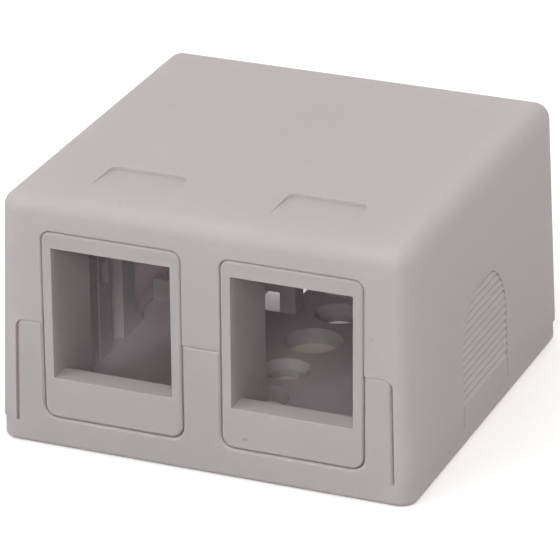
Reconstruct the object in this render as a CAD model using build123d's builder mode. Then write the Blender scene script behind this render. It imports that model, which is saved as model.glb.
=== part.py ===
from build123d import *
import os
from math import cos, radians, sin, tan

# Surface mount jack box for two snap-in jacks.
# It has four moulded pieces: a base, a lift-off cover and two port bezels.
# Frame: X runs across the two ports, Y from the front face to the back, Z up.
# The origin is the centre of the underside. All sizes are in millimetres.

# Outer skin, measured at the underside, and the draft of its faces in degrees
WIDTH = 51.6
DEPTH = 50.2
HEIGHT = 30.9
SIDE_DRAFT = 2.0
BACK_DRAFT = 1.3
FRONT_DRAFT = 0.7
EDGE_RADIUS = 2.0

# Cover
COVER_WALL = 1.8
CAVITY_RADIUS = 0.8
SEAM_HEIGHT = 2.65

# Ports and the bezels that frame them. The bezels fill what is left between their distances from
# the sides and the top of the box and from each other, and the openings what their frames leave.
BEZEL_FROM_SIDE = 6.165
BEZEL_FROM_TOP = 4.0
BEZEL_SPACING = 4.97
BEZEL_LOW = 3.87
FRAME_SIDE = 1.175
FRAME_TOP = 1.9
PORT_LOW = 8.8
BEZEL_LOW_RADIUS = 1.4
BEZEL_TOP_RADIUS = 1.1
BEZEL_EDGE_ROUNDING = 0.3
BEZEL_PLATE = 2.1
CHANNEL_DEPTH = 10.4
CHANNEL_ROOF = 1.1
ROOF_CLEARANCE = 0.7
CATCH_THICKNESS = 2.2
SILL_DEPTH = 3.8
SILL_THICKNESS = 1.6
SILL_ROUNDING = 0.9
FLANGE_WIDTH = 1.0
FLANGE_THICKNESS = 1.2

# Gaps between pieces: round the bezels in the cover's arches and between the base's fingers, beside
# the outer fingers, and over all of them, where the cover nearly touches
ARCH_GAP = 0.13
FINGER_GAP = 0.2
LEG_GAP = 0.27
FINGER_TOP_GAP = 0.05
SLOT_GAP = 0.15
CAVITY_GAP = 0.45

# Chamfers on the edges of the seams in front
ARCH_EASING = 0.12
FINGER_EASING = 0.22

# Base
BASE_INSET = 0.2
BASE_ROUNDING = 0.6
FLOOR_THICKNESS = 2.0
RIM_WIDTH = 2.7
FINGER_TOP = 15.5
FINGER_LOW_FROM_SIDE = 2.6
FINGER_TOP_FROM_SIDE = 2.9
FINGER_RADIUS = 0.8
RAIL_DEPTH = 1.4
SIDE_WALL = 1.4
SIDE_WALL_END = 18.95
SIDE_POST_LENGTH = 3.5
SIDE_POST_SHIFT = 0.2
FOOT_POCKET_LENGTH = 1.2
FOOT_POCKET_WIDTH = 0.9
FOOT_POCKET_DEPTH = 1.5
SIDE_CURB_LENGTH = 2.4
SIDE_CURB_TOP = 3.2
CORNER_RIB_FROM_BACK = 12.4
CORNER_RIB_WALL = 1.2
CORNER_RIB_LENGTH = 6.0
CORNER_RIB_TOP = 4.8

# Snap tongues of the base, one behind each side wall and one at the back. A nub inside the cover
# catches in the window of each tongue.
SIDE_TONGUE_SLIT = 0.45
SIDE_TONGUE_WIDTH = 3.1
SIDE_TONGUE_SPACE = 3.5
REAR_TONGUE_WIDTH = 7.0
REAR_TONGUE_WALL = 1.1
WINDOW_WIDTH = 1.8
WINDOW_HEIGHT = 3.0
WINDOW_BELOW_TOP = 1.4
NUB_MARGIN = 0.2
NUB_HEIGHT = 1.6
NUB_LAND = 0.4
NUB_CLEARANCE = 0.06

# Three countersunk screw holes on the centre line of the floor, with two plain holes between
HOLE_PITCH = 8.45
SCREW_RADIUS = 2.1
SCREW_HEAD_RADIUS = 3.0
PLAIN_HOLE_RADIUS = 3.6

# Cable notches at the back of the floor and the tie bridge over the inner end of each
NOTCH_X = 9.3
NOTCH_LENGTH = 10.4
NOTCH_WIDTH = 6.0
NOTCH_RADIUS = 0.7
BRIDGE_THICKNESS = 2.6
BRIDGE_POST = 2.05
BRIDGE_WINDOW_WIDTH = 4.8
BRIDGE_WINDOW_HEIGHT = 2.6
BRIDGE_BAR = 1.8

# Ribbed breakout on each side of the cover
BREAKOUT_FROM_FRONT = 24.1
BREAKOUT_WIDTH = 15.0
BREAKOUT_TOP = 18.7
RIB_LOW = 5.3
RIB_PITCH = 0.985
RIB_DEPTH = 0.28
SCORE_WIDTH = 0.22
SCORE_DEPTH = 0.3
INNER_SCORE_WIDTH = 0.6
INNER_SCORE_DEPTH = 0.8

# Sloping label recess over each port
LABEL_WIDTH = 9.7
LABEL_FROM_FRONT = 6.0
LABEL_LENGTH = 6.3
LABEL_DEPTH = 0.4
LABEL_RADIUS = 1.1

# Values that follow from the sizes above
FRONT_Y = -DEPTH / 2
BEZEL_WIDTH = (WIDTH - BEZEL_SPACING) / 2 - BEZEL_FROM_SIDE
BEZEL_TOP = HEIGHT - BEZEL_FROM_TOP
PORT_PITCH = BEZEL_WIDTH + BEZEL_SPACING
PORT_WIDTH = BEZEL_WIDTH - 2 * FRAME_SIDE
PORT_TOP = BEZEL_TOP - FRAME_TOP
PORT_XS = (-PORT_PITCH / 2, PORT_PITCH / 2)
SIDES = (-1, 1)
PORT_MIDDLE = (PORT_LOW + PORT_TOP) / 2
CHANNEL_TOP = HEIGHT - COVER_WALL - ROOF_CLEARANCE
FLOOR_TOP = FLOOR_THICKNESS
OVERCUT = 1.0
FLANGE_FRONT = BEZEL_PLATE + SLOT_GAP
FLANGE_BACK = FLANGE_FRONT + FLANGE_THICKNESS
RAIL_FRONT = FLANGE_BACK + SLOT_GAP
RAIL_BACK = RAIL_FRONT + RAIL_DEPTH
SIDE_TONGUE_START = SIDE_WALL_END + SIDE_TONGUE_SLIT
SIDE_POST_START = SIDE_TONGUE_START + SIDE_TONGUE_WIDTH + SIDE_TONGUE_SPACE
SIDE_POST_END = SIDE_POST_START + SIDE_POST_LENGTH
WINDOW_TOP = FINGER_TOP - WINDOW_BELOW_TOP
WINDOW_LOW = WINDOW_TOP - WINDOW_HEIGHT
NUB_TOP = WINDOW_TOP - NUB_MARGIN
NUB_LOW = NUB_TOP - NUB_HEIGHT
ARCH_RADIUS = BREAKOUT_WIDTH / 2
ARCH_CENTRE = BREAKOUT_TOP - ARCH_RADIUS
RIB_COUNT = int((BREAKOUT_TOP - RIB_LOW) / RIB_PITCH) + 1


def half_width(height):
    """Half of the skin's width at a height."""
    return WIDTH / 2 - height * tan(radians(SIDE_DRAFT))


def front_at(height):
    """Y of the front skin at a height."""
    return FRONT_Y + height * tan(radians(FRONT_DRAFT))


def back_at(height):
    """Y of the back skin at a height."""
    return DEPTH / 2 - height * tan(radians(BACK_DRAFT))


# Outer faces of the base's walls, which stand inside the cover, and of its rear tongue
WALL_OUTER_X = half_width(FINGER_TOP) - COVER_WALL - CAVITY_GAP
WALL_INNER_X = WALL_OUTER_X - SIDE_WALL
POST_OUTER_X = WALL_OUTER_X + SIDE_POST_SHIFT
TONGUE_OUTER_Y = back_at(FINGER_TOP) - COVER_WALL - CAVITY_GAP
SIDE_TONGUE_Y = FRONT_Y + SIDE_TONGUE_START + SIDE_TONGUE_WIDTH / 2


def drafted_block(low, high, inset, front_inset):
    """Block between two heights whose faces follow the drafted skin at a distance inside it."""
    low_half = half_width(low) - inset
    high_half = half_width(high) - inset
    with BuildPart() as block:
        with BuildSketch(Plane.XZ):
            with BuildLine():
                Polyline(
                    (-low_half, low),
                    (-high_half, high),
                    (high_half, high),
                    (low_half, low),
                    close=True,
                )
            make_face()
        extrude(amount=DEPTH, both=True)
        with BuildSketch(Plane.YZ):
            with BuildLine():
                Polyline(
                    (front_at(low) + front_inset, low),
                    (front_at(high) + front_inset, high),
                    (back_at(high) - inset, high),
                    (back_at(low) - inset, low),
                    close=True,
                )
            make_face()
        extrude(amount=WIDTH, both=True, mode=Mode.INTERSECT)
    return block.part


def bezel_outline(gap):
    """Outline of one bezel in X and Z, grown all round by a gap."""
    with BuildSketch() as outline:
        with Locations((0, (BEZEL_LOW + BEZEL_TOP) / 2)):
            Rectangle(BEZEL_WIDTH + 2 * gap, BEZEL_TOP - BEZEL_LOW + 2 * gap)
        fillet(outline.vertices().group_by(Axis.Y)[0], BEZEL_LOW_RADIUS + gap)
        fillet(outline.vertices().group_by(Axis.Y)[-1], BEZEL_TOP_RADIUS + gap)
    return outline.sketch


def finger_outline(side_gap, top_gap, low):
    """Trapezium that the fingers of the base fill in the front face, grown by gaps."""
    lean = (FINGER_TOP_FROM_SIDE - FINGER_LOW_FROM_SIDE) / (FINGER_TOP - SEAM_HEIGHT)
    low_x = WIDTH / 2 - FINGER_LOW_FROM_SIDE + (SEAM_HEIGHT - low) * lean + side_gap
    top_x = WIDTH / 2 - FINGER_TOP_FROM_SIDE + side_gap
    top = FINGER_TOP + top_gap
    with BuildSketch() as outline:
        with BuildLine():
            Polyline((-low_x, low), (-top_x, top), (top_x, top), (low_x, low), close=True)
        make_face()
        fillet(outline.vertices().group_by(Axis.Y)[-1], FINGER_RADIUS + side_gap)
    return outline.sketch


def breakout_outline(low, shrink):
    """Round-headed outline of the breakout from a height upwards, shrunk by a distance."""
    with BuildSketch() as outline:
        with Locations((0, ARCH_CENTRE)):
            Circle(ARCH_RADIUS - shrink)
        with Locations((0, (low + ARCH_CENTRE) / 2)):
            Rectangle(BREAKOUT_WIDTH - 2 * shrink, ARCH_CENTRE - low)
    return outline.sketch


def upright(depth):
    """Plane that faces forwards at a depth behind the front edge of the underside."""
    return Plane.XZ.offset(-FRONT_Y - depth)


def seam_edges(part, low, high, reach):
    """Edges of a part's front skin whose middles lie between two heights and near the centre."""
    skin = part.faces().filter_by(GeomType.PLANE).sort_by(Axis.Y)[0]
    edges = skin.edges().filter_by_position(Axis.Z, low, high, (False, True))
    return edges.filter_by_position(Axis.X, -reach, reach)


# Planes of the drafted front skin and of the two drafted side skins at the breakouts
FRONT_SKIN = Plane(origin=(0, FRONT_Y, 0), x_dir=(1, 0, 0), z_dir=(0, -1, tan(radians(FRONT_DRAFT))))
SIDE_SKINS = [
    Plane(
        origin=(side * half_width(0), FRONT_Y + BREAKOUT_FROM_FRONT, 0),
        x_dir=(0, side, 0),
        z_dir=(side * cos(radians(SIDE_DRAFT)), 0, sin(radians(SIDE_DRAFT))),
    )
    for side in SIDES
]

# Outer face of each snap tongue, as a plane with X along the wall, Y up and Z out of the wall
TONGUE_FACES = [
    Plane(origin=(side * WALL_OUTER_X, SIDE_TONGUE_Y, 0), x_dir=(0, side, 0), z_dir=(side, 0, 0))
    for side in SIDES
]
TONGUE_FACES.append(Plane(origin=(0, TONGUE_OUTER_Y, 0), x_dir=(-1, 0, 0), z_dir=(0, 1, 0)))

os.makedirs("parts", exist_ok=True)

# Tool for the ribs of a breakout: a row of vee grooves inside the breakout's round-headed outline.
# Its X runs along the side wall, its Y up the wall and its Z out of the wall.
with BuildPart() as rib_tool:
    with BuildSketch(Plane.YZ):
        for rib in range(RIB_COUNT):
            rib_start = RIB_LOW + rib * RIB_PITCH
            rib_end = rib_start + RIB_PITCH
            with BuildLine():
                Polyline(
                    (rib_start, 0),
                    (rib_start + RIB_PITCH / 2, -RIB_DEPTH),
                    (rib_end, 0),
                    (rib_end, OVERCUT),
                    (rib_start, OVERCUT),
                    close=True,
                )
            make_face()
    extrude(amount=BREAKOUT_WIDTH, both=True)
    with BuildSketch(Plane.XY.offset(-2 * RIB_DEPTH)):
        add(breakout_outline(RIB_LOW, 0))
    extrude(amount=2 * RIB_DEPTH + 2 * OVERCUT, mode=Mode.INTERSECT)

# Tool for the scores of a breakout: two lines below the ribs outside, and one all round inside.
with BuildPart() as score_tool:
    with BuildSketch(Plane.XY.offset(-SCORE_DEPTH)):
        for side in SIDES:
            with Locations((side * (ARCH_RADIUS - SCORE_WIDTH / 2), (RIB_LOW + SEAM_HEIGHT) / 2)):
                Rectangle(SCORE_WIDTH, RIB_LOW - SEAM_HEIGHT + OVERCUT)
    extrude(amount=SCORE_DEPTH + OVERCUT)
    with BuildSketch(Plane.XY.offset(-COVER_WALL - OVERCUT)):
        add(breakout_outline(0, 0))
        add(breakout_outline(0, INNER_SCORE_WIDTH), mode=Mode.SUBTRACT)
    extrude(amount=INNER_SCORE_DEPTH + OVERCUT)

# Tool for a label recess: a wedge, deepest at the back, that runs out to nothing at the front.
with BuildPart() as label_tool:
    with BuildSketch(Plane.YZ):
        with BuildLine():
            Polyline(
                (0, 0),
                (LABEL_LENGTH, -LABEL_DEPTH),
                (LABEL_LENGTH, OVERCUT),
                (0, OVERCUT),
                close=True,
            )
        make_face()
    extrude(amount=LABEL_WIDTH / 2, both=True)
    fillet(label_tool.edges().filter_by(Axis.Z).group_by(Axis.Y)[-1], LABEL_RADIUS)

# Cavity of the cover, less the snap nubs: each has a square catch above a lead-in slope
with BuildPart() as cavity:
    add(drafted_block(0, HEIGHT - COVER_WALL, COVER_WALL, COVER_WALL))
    cavity_edges = cavity.edges().group_by(Axis.Z)
    fillet(cavity_edges[1] + cavity_edges[-1], CAVITY_RADIUS)
    for face in TONGUE_FACES:
        with BuildSketch(Plane(origin=face.origin, x_dir=face.z_dir, z_dir=-face.x_dir)):
            with BuildLine():
                Polyline(
                    (COVER_WALL, NUB_LOW),
                    (NUB_CLEARANCE, NUB_TOP - NUB_LAND),
                    (NUB_CLEARANCE, NUB_TOP),
                    (COVER_WALL, NUB_TOP),
                    close=True,
                )
            make_face()
        extrude(amount=WINDOW_WIDTH / 2 - NUB_MARGIN, both=True, mode=Mode.SUBTRACT)

# Cover: a drafted shell, open below, with an arch for each bezel and a gap for the fingers
with BuildPart() as cover:
    add(drafted_block(SEAM_HEIGHT, HEIGHT, 0, 0))
    skin_edges = cover.edges().group_by(Axis.Z)
    fillet(skin_edges[1] + skin_edges[-1], EDGE_RADIUS)
    add(cavity.part, mode=Mode.SUBTRACT)
    with BuildSketch(upright(-OVERCUT)):
        add(finger_outline(LEG_GAP, FINGER_TOP_GAP, 0))
        for port_x in PORT_XS:
            with Locations((port_x, 0)):
                add(bezel_outline(ARCH_GAP))
    extrude(amount=-(OVERCUT + COVER_WALL + EDGE_RADIUS), mode=Mode.SUBTRACT)
    arch_reach = (PORT_PITCH + BEZEL_WIDTH) / 2 + ARCH_GAP
    arch_top = BEZEL_TOP + ARCH_GAP
    chamfer(seam_edges(cover, FINGER_TOP, arch_top, arch_reach), ARCH_EASING)
    with Locations(*SIDE_SKINS):
        add(rib_tool.part, mode=Mode.SUBTRACT)
        add(score_tool.part, mode=Mode.SUBTRACT)
    with Locations(*[(port_x, FRONT_Y + LABEL_FROM_FRONT, HEIGHT) for port_x in PORT_XS]):
        add(label_tool.part, mode=Mode.SUBTRACT)

cover.part.label = "cover"
export_step(cover.part, "parts/cover.step")

# Front wall of the base: a low strip and three fingers that stand between the bezels
with BuildPart() as front_wall:
    with BuildSketch(upright(-OVERCUT)):
        add(finger_outline(0, 0, FLOOR_TOP))
        for port_x in PORT_XS:
            with Locations((port_x, 0)):
                add(bezel_outline(FINGER_GAP), mode=Mode.SUBTRACT)
    extrude(amount=-(OVERCUT + BEZEL_PLATE))
    split(bisect_by=FRONT_SKIN, keep=Keep.BOTTOM)

# Base: floor and rim, fingers, walls with snap tongues, bezel rails, tie bridges and holes
FRONT_POCKET_Y = FRONT_Y + BEZEL_PLATE
BACK_POCKET_Y = DEPTH / 2 - BASE_INSET - RIM_WIDTH
POCKET_HALF_WIDTH = WIDTH / 2 - BASE_INSET - RIM_WIDTH
CROSSBAR = PORT_PITCH - BEZEL_WIDTH - 2 * FINGER_GAP
WEB = PORT_PITCH - BEZEL_WIDTH - 2 * FLANGE_WIDTH - 2 * SLOT_GAP
OUTER_RAIL_X = (PORT_PITCH + BEZEL_WIDTH) / 2 + FINGER_GAP


def slab(low_x, high_x, low_y, high_y):
    """Rectangle between two X and two Y values in the sketch that is open."""
    with Locations(((low_x + high_x) / 2, (low_y + high_y) / 2)):
        Rectangle(high_x - low_x, high_y - low_y)


def mirrored_slab(low_x, high_x, low_y, high_y):
    """The same rectangle on both sides of the centre plane."""
    slab(low_x, high_x, low_y, high_y)
    slab(-high_x, -low_x, low_y, high_y)


with BuildPart() as base:
    add(drafted_block(0, SEAM_HEIGHT, BASE_INSET, 0))
    fillet(base.edges().group_by(Axis.Z)[1], EDGE_RADIUS)
    fillet(base.faces().sort_by(Axis.Z)[0].edges(), BASE_ROUNDING)
    with BuildSketch(Plane.XY.offset(FLOOR_TOP)):
        slab(-POCKET_HALF_WIDTH, POCKET_HALF_WIDTH, FRONT_POCKET_Y, BACK_POCKET_Y)
    extrude(amount=OVERCUT, mode=Mode.SUBTRACT)
    add(front_wall.part)
    chamfer(seam_edges(base, SEAM_HEIGHT, FINGER_TOP, WIDTH / 2), FINGER_EASING)
    # Walls and rails that are as tall as the fingers
    with BuildSketch(Plane.XY.offset(FLOOR_TOP)):
        mirrored_slab(WALL_INNER_X, WALL_OUTER_X, FRONT_POCKET_Y, FRONT_Y + SIDE_WALL_END)
        mirrored_slab(
            WALL_INNER_X,
            WALL_OUTER_X,
            FRONT_Y + SIDE_TONGUE_START,
            FRONT_Y + SIDE_TONGUE_START + SIDE_TONGUE_WIDTH,
        )
        mirrored_slab(WALL_INNER_X, POST_OUTER_X, FRONT_Y + SIDE_POST_START, FRONT_Y + SIDE_POST_END)
        mirrored_slab(OUTER_RAIL_X, WALL_INNER_X, FRONT_Y + RAIL_FRONT, FRONT_Y + RAIL_BACK)
        slab(-WEB / 2, WEB / 2, FRONT_POCKET_Y, FRONT_Y + RAIL_BACK)
        slab(-CROSSBAR / 2, CROSSBAR / 2, FRONT_Y + RAIL_FRONT, FRONT_Y + RAIL_BACK)
        slab(
            -REAR_TONGUE_WIDTH / 2,
            REAR_TONGUE_WIDTH / 2,
            TONGUE_OUTER_Y - REAR_TONGUE_WALL,
            TONGUE_OUTER_Y,
        )
    extrude(amount=FINGER_TOP - FLOOR_TOP)
    # Small pocket in the rim at the front foot of each post
    with BuildSketch(Plane.XY.offset(SEAM_HEIGHT)):
        mirrored_slab(
            POST_OUTER_X - FOOT_POCKET_WIDTH,
            POST_OUTER_X,
            FRONT_Y + SIDE_POST_START - FOOT_POCKET_LENGTH,
            FRONT_Y + SIDE_POST_START,
        )
    extrude(amount=-FOOT_POCKET_DEPTH, mode=Mode.SUBTRACT)
    # Low curb behind each post
    with BuildSketch(Plane.XY.offset(FLOOR_TOP)):
        mirrored_slab(
            WALL_INNER_X,
            WALL_OUTER_X,
            FRONT_Y + SIDE_POST_END,
            FRONT_Y + SIDE_POST_END + SIDE_CURB_LENGTH,
        )
    extrude(amount=SIDE_CURB_TOP - FLOOR_TOP)
    # Low cross rib in each rear corner
    with BuildSketch(Plane.XY.offset(FLOOR_TOP)):
        mirrored_slab(
            WALL_OUTER_X - CORNER_RIB_LENGTH,
            WALL_OUTER_X,
            DEPTH / 2 - CORNER_RIB_FROM_BACK,
            DEPTH / 2 - CORNER_RIB_FROM_BACK + CORNER_RIB_WALL,
        )
    extrude(amount=CORNER_RIB_TOP - FLOOR_TOP)
    # Windows of the tongues, in which the cover's nubs catch
    for face in TONGUE_FACES:
        with BuildSketch(face):
            with Locations((0, (WINDOW_LOW + WINDOW_TOP) / 2)):
                Rectangle(WINDOW_WIDTH, WINDOW_HEIGHT)
        extrude(amount=-SIDE_WALL, mode=Mode.SUBTRACT)
    # Cable notches, open to the back
    with BuildSketch(Plane.XY.offset(-OVERCUT)):
        for side in SIDES:
            with Locations((side * NOTCH_X, (DEPTH - NOTCH_LENGTH + OVERCUT) / 2)):
                RectangleRounded(NOTCH_WIDTH, NOTCH_LENGTH + OVERCUT, NOTCH_RADIUS)
    extrude(amount=SEAM_HEIGHT + 2 * OVERCUT, mode=Mode.SUBTRACT)
    # Tie bridges, which span the inner ends of the notches: two posts and a bar over a window
    with BuildSketch(upright(DEPTH - NOTCH_LENGTH)):
        for side in SIDES:
            with Locations((side * NOTCH_X, FLOOR_TOP + (BRIDGE_WINDOW_HEIGHT + BRIDGE_BAR) / 2)):
                Rectangle(BRIDGE_WINDOW_WIDTH + 2 * BRIDGE_POST, BRIDGE_WINDOW_HEIGHT + BRIDGE_BAR)
            with Locations((side * NOTCH_X, FLOOR_TOP + BRIDGE_WINDOW_HEIGHT / 2)):
                Rectangle(BRIDGE_WINDOW_WIDTH, BRIDGE_WINDOW_HEIGHT, mode=Mode.SUBTRACT)
    extrude(amount=-BRIDGE_THICKNESS)
    # Screw holes and plain holes
    with Locations(*[(0, place * HOLE_PITCH, FLOOR_TOP) for place in (-2, 0, 2)]):
        CounterSinkHole(radius=SCREW_RADIUS, counter_sink_radius=SCREW_HEAD_RADIUS)
    with Locations(*[(0, place * HOLE_PITCH, FLOOR_TOP) for place in (-1, 1)]):
        Hole(radius=PLAIN_HOLE_RADIUS)

base.part.label = "base"
export_step(base.part, "parts/base.step")


def make_bezel(port_x):
    """Bezel at one port: face plate, channel, sill, roof with its catch, and two flanges."""
    with BuildPart() as bezel:
        # Face plate, flush with the skin of the cover and base
        with BuildSketch(upright(-OVERCUT)):
            with Locations((port_x, 0)):
                add(bezel_outline(0))
        extrude(amount=-(OVERCUT + BEZEL_PLATE))
        split(bisect_by=FRONT_SKIN, keep=Keep.BOTTOM)
        fillet(bezel.faces().sort_by(Axis.Y)[0].edges(), BEZEL_EDGE_ROUNDING)
        # Side walls of the channel
        with BuildSketch(upright(BEZEL_PLATE)):
            with Locations((port_x, 0)):
                add(bezel_outline(0))
            with Locations((port_x, PORT_MIDDLE)):
                Rectangle(PORT_WIDTH, 2 * CHANNEL_TOP, mode=Mode.SUBTRACT)
        extrude(amount=-(CHANNEL_DEPTH - BEZEL_PLATE))
        # Roof of the channel, which stands clear behind the cover's front wall
        with BuildSketch(upright(RAIL_FRONT)):
            slab(port_x - BEZEL_WIDTH / 2, port_x + BEZEL_WIDTH / 2, PORT_TOP, CHANNEL_TOP)
            with Locations((port_x, PORT_MIDDLE)):
                Rectangle(PORT_WIDTH, 2 * (CHANNEL_TOP - CHANNEL_ROOF - PORT_MIDDLE), mode=Mode.SUBTRACT)
        extrude(amount=-(CHANNEL_DEPTH - RAIL_FRONT))
        # Catch at the back of the roof, behind which the jack's latch snaps
        with BuildSketch(upright(CHANNEL_DEPTH - CATCH_THICKNESS)):
            slab(port_x - BEZEL_WIDTH / 2, port_x + BEZEL_WIDTH / 2, PORT_TOP, CHANNEL_TOP)
        extrude(amount=-CATCH_THICKNESS)
        # Flanges, which slide down between the fingers and the rails and stand on the floor
        with BuildSketch(upright(FLANGE_FRONT)):
            for side in SIDES:
                flange_x = port_x + side * (PORT_WIDTH + BEZEL_WIDTH + 2 * FLANGE_WIDTH) / 4
                with Locations((flange_x, (FLOOR_TOP + BEZEL_TOP) / 2)):
                    Rectangle((BEZEL_WIDTH - PORT_WIDTH) / 2 + FLANGE_WIDTH, BEZEL_TOP - FLOOR_TOP)
        extrude(amount=-FLANGE_THICKNESS)
        # Sill under the opening, which the jack's lower lip hooks over
        with BuildSketch(upright(BEZEL_PLATE)):
            slab(port_x - PORT_WIDTH / 2, port_x + PORT_WIDTH / 2, PORT_LOW - SILL_THICKNESS, PORT_LOW)
        extrude(amount=-(SILL_DEPTH - BEZEL_PLATE))
        sill_edge = (port_x, FRONT_Y + SILL_DEPTH, PORT_LOW)
        fillet(bezel.edges().filter_by(Axis.X).sort_by_distance(sill_edge)[0], SILL_ROUNDING)
        # Opening
        with BuildSketch(upright(-OVERCUT)):
            slab(port_x - PORT_WIDTH / 2, port_x + PORT_WIDTH / 2, PORT_LOW, PORT_TOP)
        extrude(amount=-(OVERCUT + BEZEL_PLATE), mode=Mode.SUBTRACT)
    return bezel.part


for name, port_x in zip(("port_bezel_left", "port_bezel_right"), PORT_XS):
    bezel = make_bezel(port_x)
    bezel.label = name
    export_step(bezel, f"parts/{name}.step")
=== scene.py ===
import math

import bpy
from mathutils import Matrix, Vector

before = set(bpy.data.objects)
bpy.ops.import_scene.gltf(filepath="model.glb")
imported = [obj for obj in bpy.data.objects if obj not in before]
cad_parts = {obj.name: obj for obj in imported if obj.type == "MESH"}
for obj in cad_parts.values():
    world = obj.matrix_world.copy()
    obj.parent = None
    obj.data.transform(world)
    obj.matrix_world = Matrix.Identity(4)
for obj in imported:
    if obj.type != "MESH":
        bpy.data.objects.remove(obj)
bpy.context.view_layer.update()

# Surface mount jack box on a pale floor, seen from its right front corner.
# Everything is in metres, in the frame of the solids: X runs across the two
# ports, -Y points out of the front face, and the underside is at Z = 0.
# Colours are linear.

MM = 0.001
WHITE = (1.0, 1.0, 1.0)
WARM_WHITE = (1.0, 0.86, 0.84)

# Plastics of the case and of the bezels, with the clouding that lightens and darkens them slightly
CASE_COLOUR = (0.580, 0.562, 0.553)
BEZEL_COLOUR = (0.565, 0.546, 0.537)
CLOUDS = {"Scale": 55.0, "Detail": 3.0, "Roughness": 0.55}
MOTTLE = {"Scale": 420.0, "Detail": 2.0, "Roughness": 0.6}
CLOUD_SHARE = 0.7
MOTTLE_SHARE = 0.3
CLOUDING_SPAN = (0.35, 0.65)
CLOUDING_LEVELS = (0.972, 1.022)

# Light goes a fraction of a millimetre into the skin, red farthest, and some of it passes the thin walls
PLASTIC_IOR = 1.50
DEPTH_WEIGHT = 1.0
DEPTH_RATIO = (1.0, 0.85, 0.95)
DEPTH_REACH = 0.12 * MM
THROUGH_SHARE = 0.35
THROUGH_COLOUR = (0.660, 0.575, 0.620)

# Edges: the rounding, the cosines of its bend between which it sets in, how much lighter the painted
# highlight makes it, and how it polishes
EDGE_RADIUS = 0.09 * MM
EDGE_SAMPLES = 4
EDGE_BEND = (0.995, 0.80)
EDGE_HIGHLIGHT_SHARE = 0.55
EDGE_HIGHLIGHT_LEVEL = 1.10
EDGE_POLISH = 0.08

# Roughness between light and dark clouds, and the bumps of the skin
SHEEN_SPAN = (0.3, 0.7)
SHEEN_LEVELS = (0.40, 0.50)
GRAIN = {"Scale": 5200.0, "Detail": 2.0, "Roughness": 0.7}
GRAIN_BUMP = {"Strength": 0.30, "Distance": 0.012 * MM}
WAVES = {"Scale": 160.0, "Detail": 1.0, "Roughness": 0.4}
WAVE_BUMP = {"Strength": 0.35, "Distance": 0.05 * MM}

# Dust: fine specks in a few of many cells, sized as shares of a cell, and the marks that the photograph shows
DIRT_COLOUR = (0.085, 0.075, 0.072)
SPECK_CELLS = {"Scale": 330.0, "Randomness": 1.0}
SPECK_RARITY = 0.955
SPECK_SIZES = (0.012, 0.030)
SPECK_STRENGTH = 0.45
MARK_CORE = 0.55

# Each mark: its centre and radius in millimetres, and how dark it is
CASE_MARKS = [
    ((-10.36, -23.09, 30.90), 0.17, 0.50),
    ((-22.26, -24.97, 10.53), 0.24, 0.16),
    ((-13.39, 9.42, 30.90), 0.20, 0.12),
    ((20.65, -24.86, 20.06), 0.22, 0.18),
    ((-0.90, -7.31, 30.90), 0.22, 0.08),
    ((11.99, -9.29, 30.90), 0.22, 0.08),
    ((25.59, 6.25, 5.95), 0.24, 0.60),
]
BEZEL_MARKS = [
    ((5.16, -25.04, 5.20), 0.20, 0.50),
    ((5.42, -25.04, 5.20), 0.20, 0.50),
    ((-16.49, -25.04, 4.89), 0.24, 0.10),
]

# Paper floor: as it is looked at in the open, as it is looked at under the box where it is painted darker and
# warmer as painted shade, and as all other light meets it
OPEN_PAPER = (0.95, 0.95, 0.95)
PAPER_UNDER_BOX_PAINTED_SHADE = (0.72, 0.69, 0.62)
BOUNCE_PAPER = (0.39, 0.375, 0.38)
FIBRES = {"Scale": 900.0, "Detail": 3.0, "Roughness": 0.6}
FIBRE_LEVEL = 0.985
FLOOR_GLOW = 0.12
FLOOR_REACH = 3.0

# Rectangle of paper that the base covers, short of its cable notches, where the paper is painted darker as
# painted shade
COVERED_HALF_WIDTH = 24.0 * MM
COVERED_HALF_LENGTH = 20.5 * MM
COVERED_MIDDLE = -3.5 * MM

# Light: a pale room that is darker before the right front corner, and four soft boxes
ROOM_COLOUR = (1.0, 0.985, 0.975)
ROOM_LEVEL = 0.86
DARK_SIDE = (0.71, -0.71, 0.0)
DARK_SIDE_SPAN = (0.45, 0.95)
DARK_SIDE_SHARE = 0.95
SOFT_BOXES = {
    "key": {"side": (-0.37, -0.40, 0.84), "far": 1.1, "size": (0.6, 0.5), "power": 1.5, "colour": WHITE},
    "left": {"side": (-0.60, -0.70, 0.36), "far": 1.1, "size": (0.6, 0.5), "power": 2.1, "colour": WHITE},
    "right": {"side": (0.75, 0.20, 0.70), "far": 1.1, "size": (0.6, 0.5), "power": 1.7, "colour": WARM_WHITE},
    "fill": {"side": (0.33, -0.85, 0.45), "far": 0.8, "size": (0.3, 0.3), "power": 3.2, "colour": WHITE},
}

# Camera: where it stands round the point that it aims at
CAMERA_AZIMUTH = math.radians(22.81)
CAMERA_ELEVATION = math.radians(24.26)
CAMERA_ROLL = math.radians(-0.72)
CAMERA_DISTANCE = 490.14 * MM
CAMERA_AIM = Vector((-0.33, -0.78, 13.89)) * MM
CAMERA_CLIP = (0.01, 20.0)
CAMERA_LENS = 267.5
SENSOR_WIDTH = 36.0


def rgba(colour, factor=1.0):
    return tuple(channel * factor for channel in colour) + (1.0,)


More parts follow.
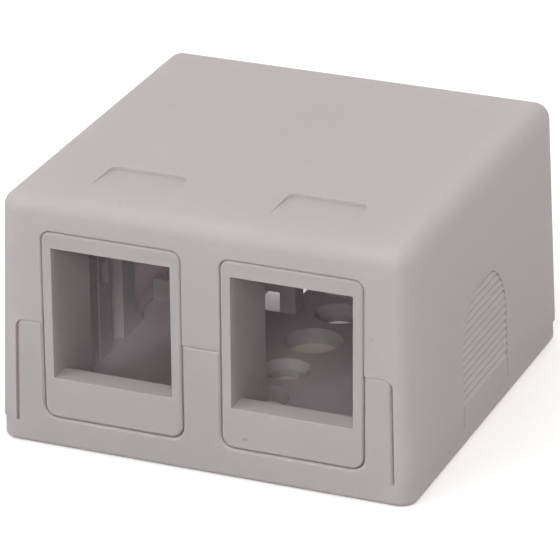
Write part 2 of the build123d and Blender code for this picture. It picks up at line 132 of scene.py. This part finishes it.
class Tree:
    """Short hand for building the node tree of a material or a world."""

    def __init__(self, owner, kind):
        owner.use_nodes = True
        self.nodes = owner.node_tree.nodes
        self.links = owner.node_tree.links
        self.nodes.clear()
        self.output = self.nodes.new("ShaderNodeOutput" + kind)

    def feed(self, socket, value):
        """Links an input to another node's output, or sets it to a plain value."""
        if isinstance(value, bpy.types.NodeSocket):
            self.links.new(value, socket)
        else:
            socket.default_value = value

    def add(self, kind, settings=None, **inputs):
        """Adds a node and feeds the inputs, whose names have underscores for spaces."""
        node = self.nodes.new("ShaderNode" + kind)
        for key, value in (settings or {}).items():
            setattr(node, key, value)
        for key, value in inputs.items():
            self.feed(node.inputs[key.replace("_", " ")], value)
        return node

    def add_operation(self, kind, operation, values):
        node = self.add(kind, {"operation": operation})
        for socket, value in zip(node.inputs, values):
            self.feed(socket, value)
        return node.outputs["Value"]

    def math(self, operation, *values):
        return self.add_operation("Math", operation, values)

    def vector_math(self, operation, *values):
        return self.add_operation("VectorMath", operation, values)

    def map_range(self, value, span, levels, interpolation="LINEAR"):
        node = self.add("MapRange", {"interpolation_type": interpolation}, Value=value,
                        From_Min=span[0], From_Max=span[1], To_Min=levels[0], To_Max=levels[1])
        return node.outputs["Result"]

    def mix(self, factor, first, second):
        """Mixes two colours."""
        node = self.add("Mix", {"data_type": "RGBA"})
        for key, value in (("Factor", factor), ("A", first), ("B", second)):
            self.feed(next(socket for socket in node.inputs if socket.name == key and socket.enabled), value)
        return next(socket for socket in node.outputs if socket.enabled)

    def mix_shaders(self, factor, first, second):
        node = self.add("MixShader", Fac=factor)
        self.feed(node.inputs[1], first)
        self.feed(node.inputs[2], second)
        return node.outputs["Shader"]

    def looked_at(self):
        """1 where the camera looks, directly, by reflection or through glass, and 0 for all other light."""
        rays = self.add("LightPath").outputs
        indirect = self.math("MAXIMUM", rays["Is Glossy Ray"], rays["Is Transmission Ray"])
        return self.math("MAXIMUM", rays["Is Camera Ray"], indirect)

    def finish(self, surface):
        self.links.new(surface, self.output.inputs["Surface"])


def moulded_plastic(name, colour, marks):
    """Satin moulded plastic: faint clouding, smoother edges with a painted highlight, dust, and a fine
    spark-eroded grain.
    """
    material = bpy.data.materials.new(name)
    tree = Tree(material, "Material")
    place = tree.add("TexCoord").outputs["Object"]

    # Clouding of the moulding, a few millimetres to a few centimetres across
    clouds = tree.add("TexNoise", Vector=place, **CLOUDS).outputs["Fac"]
    mottle = tree.add("TexNoise", Vector=place, **MOTTLE).outputs["Fac"]
    shade = tree.math("ADD", tree.math("MULTIPLY", clouds, CLOUD_SHARE),
                      tree.math("MULTIPLY", mottle, MOTTLE_SHARE))
    shade = tree.map_range(shade, CLOUDING_SPAN, (0.0, 1.0))
    body = tree.mix(shade, *(rgba(colour, level) for level in CLOUDING_LEVELS))

    # Edges: a painted highlight makes the colour a little lighter there, and the skin is smoother
    rounded = tree.add("Bevel", {"samples": EDGE_SAMPLES}, Radius=EDGE_RADIUS).outputs["Normal"]
    bend = tree.vector_math("DOT_PRODUCT", rounded, tree.add("NewGeometry").outputs["Normal"])
    edge = tree.map_range(bend, EDGE_BEND, (0.0, 1.0))
    body = tree.mix(tree.math("MULTIPLY", edge, EDGE_HIGHLIGHT_SHARE), body, rgba(colour, EDGE_HIGHLIGHT_LEVEL))

    # Sparse dust specks, about a tenth of a millimetre across
    cells = tree.add("TexVoronoi", {"feature": "F1"}, Vector=place, **SPECK_CELLS)
    chance = tree.add("SeparateColor", Color=cells.outputs["Color"])
    chosen = tree.math("GREATER_THAN", chance.outputs["Red"], SPECK_RARITY)
    size = tree.map_range(chance.outputs["Green"], (0.0, 1.0), SPECK_SIZES)
    dust = tree.math("MULTIPLY", tree.math("LESS_THAN", cells.outputs["Distance"], size), chosen)
    dust = tree.math("MULTIPLY", dust, SPECK_STRENGTH)

    # The larger marks, soft outside their core
    for centre, radius, strength in marks:
        gap = tree.vector_math("DISTANCE", place, Vector(centre) * MM)
        mark = tree.map_range(gap, (radius * MM, radius * MARK_CORE * MM), (0.0, strength))
        dust = tree.math("MAXIMUM", dust, mark)
    body = tree.mix(dust, body, rgba(DIRT_COLOUR))

    # Sheen varies slightly, and the skin has a fine grain over a very slight waviness
    sheen = tree.map_range(clouds, SHEEN_SPAN, SHEEN_LEVELS)
    sheen = tree.math("SUBTRACT", sheen, tree.math("MULTIPLY", edge, EDGE_POLISH))
    normal = rounded
    for noise, bump in ((WAVES, WAVE_BUMP), (GRAIN, GRAIN_BUMP)):
        height = tree.add("TexNoise", Vector=place, **noise).outputs["Fac"]
        normal = tree.add("Bump", Height=height, Normal=normal, **bump).outputs["Normal"]

    skin = tree.add("BsdfPrincipled", {"subsurface_method": "RANDOM_WALK"}, Base_Color=body,
                    Roughness=sheen, IOR=PLASTIC_IOR, Normal=normal, Subsurface_Weight=DEPTH_WEIGHT,
                    Subsurface_Radius=DEPTH_RATIO, Subsurface_Scale=DEPTH_REACH)
    through = tree.add("BsdfTranslucent", Color=rgba(THROUGH_COLOUR))
    tree.finish(tree.mix_shaders(THROUGH_SHARE, skin.outputs["BSDF"], through.outputs["BSDF"]))
    return material


def pale_floor():
    """Pale paper: shaded by the lamps, lifted to white only where it is looked at in the open, and painted
    darker and warmer under the box as painted shade.
    """
    material = bpy.data.materials.new("pale_floor")
    tree = Tree(material, "Material")
    place = tree.add("TexCoord").outputs["Object"]
    fibres = tree.add("TexNoise", Vector=place, **FIBRES).outputs["Fac"]
    bounce = tree.mix(fibres, rgba(BOUNCE_PAPER, FIBRE_LEVEL), rgba(BOUNCE_PAPER))
    bright = tree.mix(fibres, rgba(OPEN_PAPER, FIBRE_LEVEL), rgba(OPEN_PAPER))

    # The open paper lies more than a half width or a half length from the middle of the covered rectangle
    axes = tree.add("SeparateXYZ", Vector=place).outputs
    across = tree.math("DIVIDE", tree.math("ABSOLUTE", axes["X"]), COVERED_HALF_WIDTH)
    along = tree.math("ABSOLUTE", tree.math("SUBTRACT", axes["Y"], COVERED_MIDDLE))
    along = tree.math("DIVIDE", along, COVERED_HALF_LENGTH)
    in_open = tree.math("GREATER_THAN", tree.math("MAXIMUM", across, along), 1.0)

    paper = tree.add("BsdfDiffuse", Color=bounce)
    # Under the box the camera sees the paper darker and warmer and without glow: painted shade under the box
    seen_paper = tree.add("BsdfDiffuse", Color=tree.mix(in_open, rgba(PAPER_UNDER_BOX_PAINTED_SHADE), bright))
    glow = tree.add("Emission", Color=rgba(WHITE), Strength=tree.math("MULTIPLY", in_open, FLOOR_GLOW))
    seen = tree.add("AddShader")
    tree.feed(seen.inputs[0], seen_paper.outputs["BSDF"])
    tree.feed(seen.inputs[1], glow.outputs["Emission"])
    tree.finish(tree.mix_shaders(tree.looked_at(), paper.outputs["BSDF"], seen.outputs["Shader"]))
    return material


def light_room(world):
    """Pale room, darker on one side, and plain white where it is looked at."""
    tree = Tree(world, "World")
    aside = tree.vector_math("DOT_PRODUCT", tree.add("TexCoord").outputs["Generated"], DARK_SIDE)
    levels = (ROOM_LEVEL, ROOM_LEVEL * (1.0 - DARK_SIDE_SHARE))
    level = tree.map_range(aside, DARK_SIDE_SPAN, levels, "SMOOTHSTEP")
    room = tree.add("Background", Color=rgba(ROOM_COLOUR), Strength=level)
    white = tree.add("Background", Color=rgba(WHITE), Strength=1.0)
    tree.finish(tree.mix_shaders(tree.looked_at(), room.outputs["Background"], white.outputs["Background"]))


def soft_box(name, side, far, size, power, colour):
    """Rectangular soft box on one side of the object, facing its middle and unseen by the camera."""
    data = bpy.data.lights.new(name, "AREA")
    data.shape = "RECTANGLE"
    data.size, data.size_y = size
    data.energy = power
    data.color = colour
    lamp = bpy.data.objects.new(name, data)
    lamp.location = CAMERA_AIM + Vector(side).normalized() * far
    lamp.rotation_mode = "QUATERNION"
    lamp.rotation_quaternion = Vector(side).to_track_quat("Z", "Y")
    lamp.visible_camera = False
    bpy.context.scene.collection.objects.link(lamp)


# Plastics
case_plastic = moulded_plastic("case_plastic_moulded", CASE_COLOUR, CASE_MARKS)
bezel_plastic = moulded_plastic("bezel_plastic_moulded", BEZEL_COLOUR, BEZEL_MARKS)
for node, material in (
    ("base", case_plastic),
    ("cover", case_plastic),
    ("port_bezel_left", bezel_plastic),
    ("port_bezel_right", bezel_plastic),
):
    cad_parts[node].data.materials[0] = material

# Floor, just under the box
mesh = bpy.data.meshes.new("floor")
corners = [(-1, -1), (1, -1), (1, 1), (-1, 1)]
mesh.from_pydata([(x * FLOOR_REACH, y * FLOOR_REACH, 0.0) for x, y in corners], [], [(0, 1, 2, 3)])
mesh.materials.append(pale_floor())
floor = bpy.data.objects.new("floor", mesh)
bpy.context.scene.collection.objects.link(floor)

# Light
studio = bpy.data.worlds.new("studio")
bpy.context.scene.world = studio
light_room(studio)
for box_name, settings in SOFT_BOXES.items():
    soft_box(box_name, **settings)

# Camera
camera_data = bpy.data.cameras.new("camera")
camera_data.sensor_fit = "HORIZONTAL"
camera_data.sensor_width = SENSOR_WIDTH
camera_data.lens = CAMERA_LENS
camera_data.clip_start, camera_data.clip_end = CAMERA_CLIP
camera = bpy.data.objects.new("camera", camera_data)
bpy.context.scene.collection.objects.link(camera)
turn = (
    Matrix.Rotation(CAMERA_AZIMUTH, 4, "Z")
    @ Matrix.Rotation(math.pi / 2 - CAMERA_ELEVATION, 4, "X")
    @ Matrix.Rotation(CAMERA_ROLL, 4, "Z")
)
camera.matrix_world = Matrix.Translation(CAMERA_AIM + turn.col[2].xyz * CAMERA_DISTANCE) @ turn
bpy.context.scene.camera = camera
bpy.context.scene.view_settings.view_transform = "Standard"
